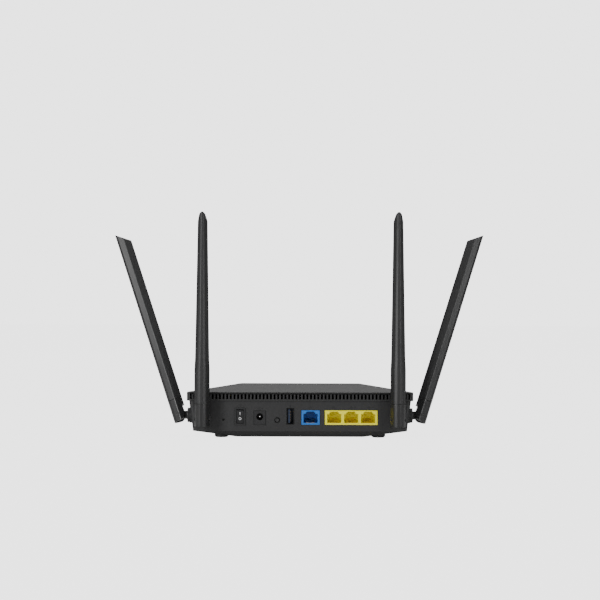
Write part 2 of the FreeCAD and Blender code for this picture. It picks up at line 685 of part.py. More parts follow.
def make_main_board():
    outline = four_sided(BOARD_REAR_HALF, BOARD_FRONT_HALF, BOARD_REAR, BOARD_FRONT,
                         BOARD_BOTTOM, BOARD_CORNER)
    board = Part.Face(outline).extrude(Vector(0, 0, BOARD_THICKNESS))
    hole = SCREW_RADIUS + SCREW_HOLE_CLEARANCE
    return board.cut([rod(hole, (x, y, BOARD_BOTTOM - PAST), (x, y, BOARD_TOP + PAST))
                      for x, y in board_screw_places()])


def chip(x, y, size, base):
    """A block of a component, standing on the level given."""
    return box((x - size[0] / 2, x + size[0] / 2), (y - size[1] / 2, y + size[1] / 2),
               (base, base + size[2]))


def make_processor():
    return chip(*PROCESSOR, CHIP_SIZE, BOARD_TOP)


def make_thermal_pad():
    return chip(*PROCESSOR, (CHIP_SIZE[0], CHIP_SIZE[1], PAD_THICKNESS),
                BOARD_TOP + CHIP_SIZE[2])


def make_heatsink():
    x, y = PROCESSOR
    base = BOARD_TOP + CHIP_SIZE[2] + PAD_THICKNESS
    pieces = [chip(x, y, (SINK_SIZE, SINK_SIZE, SINK_BASE), base)]
    step = (SINK_SIZE - FIN_THICKNESS) / (FIN_COUNT - 1)
    for index in range(FIN_COUNT):
        left = x - SINK_SIZE / 2 + index * step
        pieces.append(box((left, left + FIN_THICKNESS), (y - SINK_SIZE / 2, y + SINK_SIZE / 2),
                          (base, base + FIN_HEIGHT)))
    return joined(pieces)


def make_shield_cans():
    return group([chip(x, y, (width, depth, SHIELD_HEIGHT), BOARD_TOP)
                  for x, y, width, depth in SHIELDS])


def make_memory_chips():
    return group([chip(x, y, (width, depth, MEMORY_HEIGHT), BOARD_TOP)
                  for x, y, width, depth in MEMORIES])


def make_capacitors():
    return group([rod(CAPACITOR_RADIUS, (x, y, BOARD_TOP), (x, y, BOARD_TOP + CAPACITOR_HEIGHT))
                  for x, y in CAPACITORS])


def make_power_inductors():
    return group([chip(x, y, INDUCTOR_SIZE, BOARD_TOP) for x, y in INDUCTORS])


def make_line_transformers():
    return group([chip(x, TRANSFORMER_Y, TRANSFORMER_SIZE, BOARD_TOP)
                  for x in [WAN_X] + lan_centres()])


# ---- network sockets ----

def socket_hollow(x):
    """The space for one plug: the opening with its two latch steps above."""
    depth = (FACE_PROUD - JACK_HOLLOW, FACE_PROUD + PAST)
    top = JACK_FLOOR + JACK_OPENING_HEIGHT
    pieces = [box((x - JACK_OPENING / 2, x + JACK_OPENING / 2), depth, (JACK_FLOOR, top))]
    for width, rise in LATCH_STEPS:
        pieces.append(box((x - width / 2, x + width / 2), depth, (JACK_FLOOR, top + rise)))
        top += rise
    return joined(pieces)


def jack_housing(x, width, centres):
    """A moulded block standing on the board, with a hollow for each plug."""
    sides = (x - width / 2, x + width / 2)
    front = box(sides, (-WALL - FACE_ROOT, FACE_PROUD), (JACK_BOTTOM, JACK_TOP))
    body = box(sides, (FACE_PROUD - JACK_DEPTH, -WALL - CUTOUT_CLEARANCE), (BOARD_TOP, JACK_TOP))
    return joined([front, body]).cut([socket_hollow(centre) for centre in centres])


def jack_contacts(centres):
    """Eight wires to a socket, rising from the floor near the mouth to the back."""
    front = FACE_PROUD - CONTACT_SETBACK
    back = FACE_PROUD - JACK_HOLLOW
    low = JACK_FLOOR
    run, rise = CONTACT_NOSE
    wires = []
    for centre in centres:
        for index in range(CONTACTS):
            x = centre + (index - (CONTACTS - 1) / 2) * CONTACT_PITCH - CONTACT_SIZE / 2
            profile = [Vector(x, front, low), Vector(x, back, low + CONTACT_RISE),
                       Vector(x, back, low + CONTACT_RISE + CONTACT_SIZE),
                       Vector(x, front - run, low + CONTACT_SIZE + rise),
                       Vector(x, front, low + CONTACT_SIZE)]
            wires.append(polygon(profile).extrude(Vector(CONTACT_SIZE, 0, 0)))
    return group(wires)


def make_wan_jack_housing():
    return jack_housing(WAN_X, WAN_WIDTH, [WAN_X])


def make_lan_jack_housing():
    return jack_housing(LAN_X, LAN_WIDTH, lan_centres())


def make_wan_jack_contacts():
    return jack_contacts([WAN_X])


def make_lan_jack_contacts():
    return jack_contacts(lan_centres())


# ---- USB socket ----

def make_usb_shell():
    x = (USB_X - USB_WIDTH / 2, USB_X + USB_WIDTH / 2)
    z = (USB_Z - USB_HEIGHT / 2, USB_Z + USB_HEIGHT / 2)
    y = (FACE_PROUD - USB_DEPTH, FACE_PROUD)
    inner_x = (x[0] + USB_WALL, x[1] - USB_WALL)
    inner_z = (z[0] + USB_WALL, z[1] - USB_WALL)
    shell = box(x, y, z).cut(box(inner_x, (y[0] + USB_BACK, y[1] + PAST), inner_z))
    leg = (y[0] + USB_LEG[0], y[0] + USB_LEG[0] + USB_LEG[1])
    legs = [box((side, side + USB_WALL), leg, (BOARD_TOP, z[0] + USB_WALL))
            for side in (x[0], x[1] - USB_WALL)]
    return joined([shell] + legs)


def usb_tongue_x():
    """The tongue's two faces: it stands nearer to one side of the shell."""
    outer = USB_X + USB_WIDTH / 2 - USB_WALL - USB_TONGUE_GAP
    return (outer - USB_TONGUE[0], outer)


def make_usb_tongue():
    y = (FACE_PROUD - USB_DEPTH + USB_BACK, FACE_PROUD - USB_TONGUE_RECESS)
    half = USB_TONGUE[1] / 2
    blade = box(usb_tongue_x(), y, (USB_Z - half, USB_Z + half))
    inner = USB_WIDTH / 2 - USB_WALL
    tall = USB_HEIGHT / 2 - USB_WALL
    block = box((USB_X - inner, USB_X + inner), (y[0], y[0] + USB_TONGUE_ROOT),
                (USB_Z - tall, USB_Z + tall))
    return joined([blade, block])


def make_usb_contacts():
    """Four strips on the tongue's wider side."""
    face = usb_tongue_x()[0]
    root = FACE_PROUD - USB_DEPTH + USB_BACK + USB_TONGUE_ROOT
    tip = FACE_PROUD - USB_TONGUE_RECESS
    y = (root, tip - USB_STRIP_MARGIN)
    strips = []
    for offset in USB_STRIPS:
        z = (USB_Z + offset - USB_STRIP_WIDTH / 2, USB_Z + offset + USB_STRIP_WIDTH / 2)
        strips.append(box((face - USB_STRIP_THICKNESS, face), y, z))
    return group(strips)


# ---- power inlet ----

def dc_axis_z():
    return DC_Z + DC_HOLE_RISE


def make_dc_jack_housing():
    sides = (DC_X - DC_WIDTH / 2, DC_X + DC_WIDTH / 2)
    top = DC_Z + DC_HEIGHT / 2
    front = box(sides, (-WALL - FACE_ROOT, FACE_PROUD), (DC_Z - DC_HEIGHT / 2, top))
    body = box(sides, (FACE_PROUD - DC_DEPTH, -WALL - CUTOUT_CLEARANCE), (BOARD_TOP, top))
    z = dc_axis_z()
    hole = rod(DC_HOLE_RADIUS, (DC_X, FACE_PROUD - DC_HOLE_DEPTH, z),
               (DC_X, FACE_PROUD + PAST, z))
    return joined([front, body]).cut([hole, dc_spring_groove()])


def dc_spring_groove():
    """The groove in the barrel's floor that holds the spring contact."""
    width, depth = DC_GROOVE
    low = dc_axis_z() - DC_HOLE_RADIUS
    y = (FACE_PROUD - DC_HOLE_DEPTH, FACE_PROUD - DC_GROOVE_RECESS)
    return box((DC_X - width / 2, DC_X + width / 2), y, (low - depth, low + DC_GROOVE_OPEN))


def make_dc_jack_pin():
    z = dc_axis_z()
    back = FACE_PROUD - DC_HOLE_DEPTH
    front = FACE_PROUD - DC_PIN_RECESS
    pin = rod(DC_PIN_RADIUS, (DC_X, back, z), (DC_X, front, z))
    nose = Part.makeSphere(DC_PIN_RADIUS, Vector(DC_X, front, z))
    return joined([pin, nose])


def make_dc_jack_spring():
    low = dc_axis_z() - DC_HOLE_RADIUS - DC_GROOVE[1]
    y = (FACE_PROUD - DC_HOLE_DEPTH, FACE_PROUD - DC_GROOVE_RECESS - DC_SPRING_SHORT)
    middle = (y[0] + y[1]) / 2
    rise, back_rise = DC_SPRING_RISE
    x = DC_X - DC_SPRING_WIDTH / 2
    profile = [Vector(x, y[0], low), Vector(x, y[1], low), Vector(x, middle, low + rise),
               Vector(x, y[0], low + back_rise)]
    return polygon(profile).extrude(Vector(DC_SPRING_WIDTH, 0, 0))


# ---- power switch ----

def switch_box(inset, y, low=None):
    """A block of the switch, this much smaller than its bezel on each side."""
    half = SWITCH_WIDTH / 2 - inset
    tall = SWITCH_HEIGHT / 2 - inset
    bottom = SWITCH_Z - tall if low is None else low
    return box((SWITCH_X - half, SWITCH_X + half), y, (bottom, SWITCH_Z + tall))


def make_power_switch_housing():
    bezel = switch_box(0, (0, SWITCH_PROUD))
    neck = switch_box(SWITCH_BODY_INSET, (-WALL - PAST, 0))
    body = switch_box(SWITCH_BODY_INSET, (SWITCH_PROUD - SWITCH_DEPTH, -WALL - PAST), BOARD_TOP)
    half = ROCKER_WIDTH / 2
    tall = ROCKER_WINDOW / 2
    window = box((SWITCH_X - half, SWITCH_X + half),
                 (ROCKER_PIVOT_Y - ROCKER_WELL, SWITCH_PROUD + PAST),
                 (SWITCH_Z - tall, SWITCH_Z + tall))
    reach = half + ROCKER_PIN + ROCKER_PIN_END
    axle = rod(ROCKER_PIN_RADIUS + RUNNING, (SWITCH_X - reach, ROCKER_PIVOT_Y, SWITCH_Z),
               (SWITCH_X + reach, ROCKER_PIVOT_Y, SWITCH_Z))
    return joined([bezel, neck, body]).cut([window, axle])


def make_power_rocker():
    """A dished rocker on stub pins, at rest with its lower end pressed in."""
    half = ROCKER_WIDTH / 2 - ROCKER_GAP
    axis = (SWITCH_X - half, SWITCH_X + half)
    reach_z = math.sqrt(ROCKER_RADIUS ** 2 - ROCKER_END ** 2)
    low_z = math.sqrt(ROCKER_RADIUS ** 2 - ROCKER_BELLY ** 2)
    x = axis[0]

    def at(y, z):
        return Vector(x, ROCKER_PIVOT_Y + y, SWITCH_Z + z)

    edges = [Part.LineSegment(at(ROCKER_END, -reach_z), at(ROCKER_END - ROCKER_DISH, 0)),
             Part.LineSegment(at(ROCKER_END - ROCKER_DISH, 0), at(ROCKER_END, reach_z)),
             Part.Arc(at(ROCKER_END, reach_z), at(0, ROCKER_RADIUS), at(-ROCKER_BELLY, low_z)),
             Part.LineSegment(at(-ROCKER_BELLY, low_z), at(-ROCKER_BELLY, -low_z)),
             Part.Arc(at(-ROCKER_BELLY, -low_z), at(0, -ROCKER_RADIUS),
                      at(ROCKER_END, -reach_z))]
    face = Part.Face(Part.Wire([edge.toShape() for edge in edges]))
    body = face.extrude(Vector(axis[1] - axis[0], 0, 0))
    reach = ROCKER_WIDTH / 2 + ROCKER_PIN
    pins = rod(ROCKER_PIN_RADIUS, (SWITCH_X - reach, ROCKER_PIVOT_Y, SWITCH_Z),
               (SWITCH_X + reach, ROCKER_PIVOT_Y, SWITCH_Z))
    rocker = joined([body, pins])
    pivot = Vector(SWITCH_X, ROCKER_PIVOT_Y, SWITCH_Z)
    rocker.rotate(pivot, Vector(1, 0, 0), -ROCKER_TILT)
    return rocker


def make_power_switch_terminals():
    """Three tabs out of the back of the switch."""
    width, length, thickness = TERMINAL
    back = SWITCH_PROUD - SWITCH_DEPTH
    tabs = []
    for offset in TERMINAL_OFFSETS:
        z = SWITCH_Z + offset
        tabs.append(box((SWITCH_X - width / 2, SWITCH_X + width / 2), (back - length, back),
                        (z - thickness / 2, z + thickness / 2)))
    return group(tabs)


# ---- push buttons ----

def make_wps_button():
    """A round cap with a flange behind the panel and a stem to its switch."""
    flange_y = -WALL - SLIDE_GAP
    back = flange_y - BUTTON_FLANGE_THICKNESS
    cap = rod(BUTTON_RADIUS, (WPS_X, back, WPS_Z), (WPS_X, BUTTON_PROUD, WPS_Z))
    rim = [edge for edge in cap.Edges if edge.BoundBox.YMin > BUTTON_PROUD - TINY]
    cap = cap.makeFillet(BUTTON_EDGE, rim)
    flange = rod(BUTTON_RADIUS + BUTTON_FLANGE, (WPS_X, back, WPS_Z), (WPS_X, flange_y, WPS_Z))
    stem = rod(BUTTON_STEM_RADIUS, (WPS_X, back - BUTTON_STEM, WPS_Z), (WPS_X, back, WPS_Z))
    return joined([cap, flange, stem])


def tact_switch(x, z, front):
    """A small switch body on the board whose front face is at the y given."""
    width, depth = TACT_SWITCH
    return box((x - width / 2, x + width / 2), (front - depth, front),
               (BOARD_TOP, z + TACT_SWITCH_RISE))


def make_wps_switch():
    stem_end = -WALL - SLIDE_GAP - BUTTON_FLANGE_THICKNESS - BUTTON_STEM
    return tact_switch(WPS_X, WPS_Z, stem_end - BUTTON_TRAVEL - SLIDE_GAP)


def plunger_front():
    return -WALL - SLIDE_GAP


def make_reset_switch():
    front = plunger_front() - PLUNGER_LENGTH + PLUNGER_COVERED
    body = tact_switch(RESET_X, RESET_Z, front)
    back = plunger_front() - PLUNGER_LENGTH - PLUNGER_TRAVEL - SLIDE_GAP
    hole = rod(PLUNGER_RADIUS + PLUNGER_CLEARANCE, (RESET_X, back, RESET_Z),
               (RESET_X, front + PAST, RESET_Z))
    return body.cut(hole)


def make_reset_plunger():
    front = plunger_front()
    return rod(PLUNGER_RADIUS, (RESET_X, front - PLUNGER_LENGTH, RESET_Z),
               (RESET_X, front, RESET_Z))


# ---- antennas, built at their pin and then posed ----

def antenna_section(width, z, wall):
    """The eight-sided section with rounded edges; a wall makes its inner outline."""
    scale = width / ANTENNA_WIDTH
    right = [(RIDGE, BLADE_OUT), (SHOULDER[0], BLADE_OUT - SHOULDER[1]),
             (ANTENNA_WIDTH / 2, -WAIST), (BACK, -BLADE_IN)]
    middle = (BLADE_OUT - BLADE_IN) / 2
    shrink_x = 1 - 2 * wall / width
    shrink_y = 1 - 2 * wall / (BLADE_OUT + BLADE_IN)
    points = []
    for x, y in right:
        points.append(Vector(x * scale * shrink_x, middle + (y - middle) * shrink_y, z))
    for x, y in reversed(right):
        points.append(Vector(-x * scale * shrink_x, middle + (y - middle) * shrink_y, z))
    soft = min(1, scale) * shrink_x
    radii = [radius * soft for radius in SECTION_ROUNDS]
    return rounded_outline(points, radii + radii[::-1])


def tip_cutter():
    """What lies above the tip: a slanted face with a crown across it."""
    block = box((-FAR, FAR), (-FAR, FAR), (0, FAR))
    crown = rod(TIP_CROWN, (0, -FAR - PAST, 0), (0, FAR + PAST, 0))
    cutter = block.cut(crown)
    cutter.rotate(Vector(0, 0, 0), Vector(1, 0, 0), TIP_SLANT)
    slant = math.radians(TIP_SLANT)
    cutter.translate(Vector(0, BLADE_OUT + TIP_CROWN * math.sin(slant),
                            BLADE_TOP - TIP_CROWN * math.cos(slant)))
    return cutter


def make_blade():
    """The hollow radome, open at the bottom and cut slanting at the tip."""
    stations = [(SEAM + SEAM_GAP, ANTENNA_WIDTH)]
    stations += [(z, ANTENNA_WIDTH - loss) for z, loss in BLADE_STATIONS]
    outer = loft([antenna_section(width, z, 0) for z, width in stations])
    top = BLADE_TOP - (BLADE_OUT + BLADE_IN) * math.tan(math.radians(TIP_SLANT)) - TIP_SOLID
    inner = []
    for z, width in stations[:-1]:
        inner.append(antenna_section(width, z, BLADE_WALL))
    last_z, last_width = stations[-1]
    near_z, near_width = stations[-2]
    share = (top - near_z) / (last_z - near_z)
    inner.append(antenna_section(near_width + share * (last_width - near_width), top, BLADE_WALL))
    return outer.cut(loft(inner)).cut(tip_cutter())


def make_base():
    """The fork that carries the blade and straddles the hub's tongue."""
    body = loft([antenna_section(ANTENNA_WIDTH, -CHEEK_RADIUS, 0),
                 antenna_section(ANTENNA_WIDTH, SEAM, 0)])
    spigot_wall = BLADE_WALL + SPIGOT_CLEARANCE
    spigot = loft([antenna_section(ANTENNA_WIDTH, SEAM - PAST, spigot_wall),
                   antenna_section(ANTENNA_WIDTH, SEAM + SPIGOT, spigot_wall)])
    far = FAR
    wide = ANTENNA_WIDTH
    setback = box((-wide, wide), (-far, -CHEEK_RADIUS), (-far, CHEEK_RADIUS + CHEEK_SETBACK))
    corner = box((-wide, wide), (-far, 0), (-far, 0))
    corner = corner.cut(rod(CHEEK_RADIUS, (-wide - PAST, 0, 0), (wide + PAST, 0, 0)))
    slot = TONGUE_WIDTH / 2 + SLIDE_GAP
    reach = TONGUE_HEIGHT / 2 + SLIDE_GAP
    mouth = [box((-slot, slot), (-far, reach), (-far, 0)),
             box((-slot, slot), (-far, 0), (-far, reach)),
             rod(reach, (-slot, 0, 0), (slot, 0, 0))]
    eye = rod(HINGE_PIN_RADIUS, (-wide, 0, 0), (wide, 0, 0))
    lead_way = rod(HUB_BORE_RADIUS, (0, RADIATOR_Y, 0), (0, RADIATOR_Y, SEAM + SPIGOT + PAST))
    return joined([body, spigot]).cut([setback, corner, eye, lead_way] + mouth)


def make_hinge_pin():
    """The pin across the fork, a little short of the cheeks."""
    half = ANTENNA_WIDTH / 2 - HINGE_PIN_SHORT
    return rod(HINGE_PIN_RADIUS, (-half, 0, 0), (half, 0, 0))


def make_radiator():
    """The flat strip that radiates, standing on the base inside the blade."""
    width, depth, length = RADIATOR
    low = SEAM + SPIGOT
    return box((-width / 2, width / 2), (RADIATOR_Y - depth / 2, RADIATOR_Y + depth / 2),
               (low, low + length))


def make_hub(wall):
    """Disc, neck and tongue outside the wall, and the shaft that turns in it."""
    face = -HUB_PIN_OUT
    back = face - HUB_DISC
    end = clip_level(wall) - CLIP_THICKNESS - SHAFT_END
    disc = rod(HUB_DISC_RADIUS, (0, back, 0), (0, face, 0))
    rims = [edge for edge in disc.Edges if edge.BoundBox.YMin > face - TINY]
    disc = disc.makeFillet(HUB_DISC_EDGE, rims)
    half = TONGUE_WIDTH / 2
    tall = TONGUE_HEIGHT / 2
    neck = box((-half, half), (face - HUB_DISC / 2, 0), (-tall, tall))
    nose = rod(tall, (-half, 0, 0), (half, 0, 0))
    shaft = rod(HUB_SHAFT_RADIUS, (0, end, 0), (0, back, 0))
    hub = joined([disc, neck, nose, shaft])
    eye = rod(HINGE_PIN_RADIUS + RUNNING, (-half - PAST, 0, 0), (half + PAST, 0, 0))
    bore = rod(HUB_BORE_RADIUS, (0, end - PAST, 0), (0, -tall, 0))
    return hub.cut([eye, bore, clip_groove(wall)])


def clip_level(wall):
    """The clip's outer face, just inside the wall."""
    return -HUB_PIN_OUT - HUB_DISC - SLIDE_GAP - wall - SLIDE_GAP


def clip_groove(wall):
    """The ring cut out of the shaft for its clip."""
    high = clip_level(wall)
    low = high - CLIP_THICKNESS
    ring = rod(HUB_SHAFT_RADIUS + PAST, (0, low, 0), (0, high, 0))
    core = rod(HUB_SHAFT_RADIUS - CLIP_GROOVE, (0, low, 0), (0, high, 0))
    return ring.cut(core)


def make_clip(wall):
    """A spring clip in the shaft's groove, open on one side."""
    high = clip_level(wall)
    low = high - CLIP_THICKNESS
    radius = HUB_SHAFT_RADIUS + CLIP_WIDTH
    ring = rod(radius, (0, low, 0), (0, high, 0))
    span = (low - PAST, high + PAST)
    bore = rod(HUB_SHAFT_RADIUS - CLIP_GROOVE, (0, span[0], 0), (0, span[1], 0))
    mouth = box((-CLIP_MOUTH / 2, CLIP_MOUTH / 2), span, (0, radius + PAST))
    return ring.cut([bore, mouth])


def posed(shape, tilt, swivel, facing, place):
    """A piece moved from the pin's frame to the case: tilted, swivelled, turned, placed."""
    centre = Vector(0, 0, 0)
    shape = shape.copy()
    shape.rotate(centre, Vector(-1, 0, 0), tilt)
    shape.rotate(centre, Vector(0, 1, 0), swivel)
    shape.rotate(centre, Vector(0, 0, 1), facing)
    shape.translate(Vector(*place))
    return shape


def antenna_places():
    """Name, wall under the hub, tilt, swivel, facing and pin position of each antenna."""
    rear_x, rear_z = REAR_HUB
    side_y, side_z = SIDE_HUB
    rear_wall = WALL + REAR_BOSS
    return (
        ("rear_left", rear_wall, 0, 0, 0, (rear_x, REAR_PIN_Y, rear_z)),
        ("rear_right", rear_wall, 0, 0, 0, (-rear_x, REAR_PIN_Y, rear_z)),
        ("side_left", SIDE_BOSS_DEPTH, SIDE_LEFT_TILT, SIDE_SWIVEL, -90,
         (SIDE_PIN_X, side_y, side_z)),
        ("side_right", SIDE_BOSS_DEPTH, SIDE_RIGHT_TILT, -SIDE_SWIVEL, 90,
         (-SIDE_PIN_X, side_y, side_z)))


def antenna_parts():
    """Every piece of the four antennas, posed."""
    blade = make_blade()
    base = make_base()
    pin = make_hinge_pin()
    radiator = make_radiator()
    parts = {}
    for name, wall, tilt, swivel, facing, place in antenna_places():
        parts[name + "_hub"] = posed(make_hub(wall), 0, swivel, facing, place)
        parts[name + "_clip"] = posed(make_clip(wall), 0, swivel, facing, place)
        for piece, shape in (("base", base), ("blade", blade), ("pin", pin),
                             ("radiator", radiator)):
            parts[name + "_" + piece] = posed(shape, tilt, swivel, facing, place)
    return parts


def make_antenna_leads():
    """The stretch of each lead inside the case, from its hub to the board."""
    rear_x, rear_z = REAR_HUB
    side_y, side_z = SIDE_HUB
    rear_end = -WALL - SLIDE_GAP - CLIP_THICKNESS - LEAD_END
    side_end = SIDE_BOSS_FACE - SIDE_BOSS_DEPTH - SLIDE_GAP - CLIP_THICKNESS - LEAD_END
    leads = []
    for side in (1, -1):
        for start, route in (((rear_x, rear_end, rear_z), REAR_LEAD_ROUTE),
                             ((side_end, side_y, side_z), SIDE_LEAD_ROUTE)):
            leads.append(lead([(side * x, y, z) for x, y, z in (start,) + route]))
    return group(leads)


def lead(points):
    """A round cable of straight runs and tangent arcs through a route's corners."""
    spots = [Vector(*point) for point in points]
    path = []
    start = spots[0]
    for before, corner, after in zip(spots, spots[1:], spots[2:]):
        back = before - corner
        ahead = after - corner
        reach = LEAD_BEND * min(back.Length, ahead.Length)
        back.normalize()
        ahead.normalize()
        half = back.getAngle(ahead) / 2
        radius = reach * math.tan(half)
        bisector = (back + ahead).normalize()
        middle = corner + bisector * (radius / math.sin(half) - radius)
        path.append(Part.LineSegment(start, corner + back * reach).toShape())
        path.append(Part.Arc(corner + back * reach, middle, corner + ahead * reach).toShape())
        start = corner + ahead * reach
    path.append(Part.LineSegment(start, spots[-1]).toShape())
    wire = Part.Wire(path)
    heading = spots[1] - spots[0]
    ring = Part.Wire([Part.Circle(spots[0], heading, LEAD_RADIUS).toShape()])
    return wire.makePipeShell([ring], True, True)


def all_parts():
    parts = {
        "top_cover": make_top_cover(),
        "bottom_shell": make_bottom_shell(),
        "indicator_window": make_indicator_window(),
        "rubber_feet": make_rubber_feet(),
        "rating_label": make_rating_label(),
        "case_screws": make_case_screws(),
        "board_screws": make_board_screws(),
        "light_guide": make_light_guide(),
        "indicator_leds": make_indicator_leds(),
        "main_board": make_main_board(),
        "processor": make_processor(),
        "thermal_pad": make_thermal_pad(),
        "heatsink": make_heatsink(),
        "shield_cans": make_shield_cans(),
        "memory_chips": make_memory_chips(),
        "line_transformers": make_line_transformers(),
        "capacitors": make_capacitors(),
        "power_inductors": make_power_inductors(),
        "wan_jack_housing": make_wan_jack_housing(),
        "wan_jack_contacts": make_wan_jack_contacts(),
        "lan_jack_housing": make_lan_jack_housing(),
        "lan_jack_contacts": make_lan_jack_contacts(),
        "usb_shell": make_usb_shell(),
        "usb_tongue": make_usb_tongue(),
        "usb_contacts": make_usb_contacts(),
        "dc_jack_housing": make_dc_jack_housing(),
        "dc_jack_pin": make_dc_jack_pin(),
        "dc_jack_spring": make_dc_jack_spring(),
        "power_switch_housing": make_power_switch_housing(),
        "power_rocker": make_power_rocker(),
        "power_switch_terminals": make_power_switch_terminals(),
        "wps_button": make_wps_button(),
        "wps_switch": make_wps_switch(),
        "reset_switch": make_reset_switch(),
        "reset_plunger": make_reset_plunger(),
        "antenna_leads": make_antenna_leads(),
    }
    parts.update(antenna_parts())
    return parts


def main():
    os.makedirs("parts", exist_ok=True)
    for name, shape in all_parts().items():
        shape.translate(Vector(0, SHIFT_Y, 0))
        if not shape.isValid():
            raise ValueError(name + " is not a valid shape")
        shape.exportStep("parts/" + name + ".step")
        print(name, len(shape.Solids), round(shape.Volume, 1))


main()
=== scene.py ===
"""Looks of a wireless router with four hinged antennas.

Laid out as an add-on and run as a script: each operator gives one piece or group of
pieces its finish and its printed or moulded detail, and the last one sets the stage.
"""

import json
import math

import bmesh
import bpy
from bpy.props import FloatProperty, FloatVectorProperty, PointerProperty
from mathutils import Matrix, Vector


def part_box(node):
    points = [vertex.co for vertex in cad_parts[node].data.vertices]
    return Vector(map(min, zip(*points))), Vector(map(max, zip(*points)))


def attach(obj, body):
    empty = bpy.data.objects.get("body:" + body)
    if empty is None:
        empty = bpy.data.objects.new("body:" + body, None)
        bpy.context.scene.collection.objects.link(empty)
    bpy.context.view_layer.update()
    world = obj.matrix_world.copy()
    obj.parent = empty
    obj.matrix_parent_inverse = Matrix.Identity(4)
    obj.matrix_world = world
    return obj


bl_info = {
    "name": "Wireless router looks",
    "version": (1, 0, 0),
    "blender": (4, 5, 0),
    "location": "3D View > Sidebar > Router",
    "description": "Finishes, printed marks and stage for a four-antenna router",
    "category": "Object",
}

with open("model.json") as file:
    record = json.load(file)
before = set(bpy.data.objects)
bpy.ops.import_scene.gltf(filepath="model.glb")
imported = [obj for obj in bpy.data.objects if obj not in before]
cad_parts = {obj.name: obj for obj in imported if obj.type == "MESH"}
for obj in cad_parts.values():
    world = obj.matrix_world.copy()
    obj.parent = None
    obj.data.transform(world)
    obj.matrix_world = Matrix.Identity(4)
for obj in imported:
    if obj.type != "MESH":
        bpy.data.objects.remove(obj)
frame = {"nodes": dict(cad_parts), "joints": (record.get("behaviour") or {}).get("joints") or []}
NODES = frame["nodes"]
JOINTS = {joint["name"]: joint for joint in frame["joints"]}
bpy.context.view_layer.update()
ANTENNAS = ("rear_left", "rear_right", "side_left", "side_right")
MM = 0.001

SHELL_PROUD = 0.4 * MM           # the USB shell's mouth, out from the panel
DISH_SLOPE = 0.171               # rise over run of each half of the rocker's face
DISH_MIDDLE = 1.0 * MM           # the face's middle, out from the pivot
BAR_RISE = 2.7 * MM              # the rocker's bar over the pivot, and its ring under it
RING_RISE = -1.7 * MM
STROKE = 0.32 * MM               # line width of the panel marks
MARK_RADIUS = 1.1 * MM           # outside of their larger rings, and of their arrows
ARROW_RADIUS = 1.0 * MM
DOT_STEP = 1.0 * MM              # between dots, or between the network mark's feet

AIM = Vector((0, 0, 0.09))       # where the softboxes point
SIDE_BOX = Vector((0.85, 1.0, 0.4))
TOP_BOX = Vector((0, 0.2, 1.4))
RIM_BOX = Vector((0, -2.2, 1.5))
FLOOR_RADIUS = 20
FLOOR_WASH = 0.8                 # share of plain light in what the camera sees of the floor
FLOOR_GAIN = 1.2                 # brings the washed floor up to the surround


# ---- shader expressions ----

class Field:
    """A number that varies over a surface; arithmetic on it adds Math nodes."""

    def __init__(self, paint, socket):
        self.paint = paint
        self.socket = socket

    def math(self, operation, *values):
        node = self.paint.node("ShaderNodeMath", {"operation": operation},
                               dict(enumerate(values)))
        return Field(self.paint, node.outputs[0])

    def __add__(self, other):
        return self.math("ADD", self, other)

    __radd__ = __add__

    def __sub__(self, other):
        return self.math("SUBTRACT", self, other)

    def __rsub__(self, other):
        return self.math("SUBTRACT", other, self)

    def __mul__(self, other):
        return self.math("MULTIPLY", self, other)

    __rmul__ = __mul__

    def above(self, level, softness):
        """0 below the level and 1 above it, with a soft step."""
        low = level - softness
        high = level + softness
        node = self.paint.node("ShaderNodeMapRange", {"interpolation_type": "SMOOTHSTEP"},
                               {"Value": self, "From Min": low, "From Max": high})
        return Field(self.paint, node.outputs["Result"])


class NodeTree:
    """An emptied node tree, filled through one method."""

    def __init__(self, owner):
        owner.use_nodes = True
        self.tree = owner.node_tree
        self.tree.nodes.clear()

    def node(self, kind, settings=None, inputs=None):
        """A node of a type, with its settings made first and then its sockets fed."""
        made = self.tree.nodes.new(kind)
        for name, value in (settings or {}).items():
            setattr(made, name, value)
        for name, value in (inputs or {}).items():
            self.feed(made.inputs[name], value)
        return made

    def feed(self, socket, value):
        """Links a field or socket, or sets a plain value."""
        if isinstance(value, Field):
            value = value.socket
        if isinstance(value, bpy.types.NodeSocket):
            self.tree.links.new(value, socket)
        else:
            socket.default_value = value


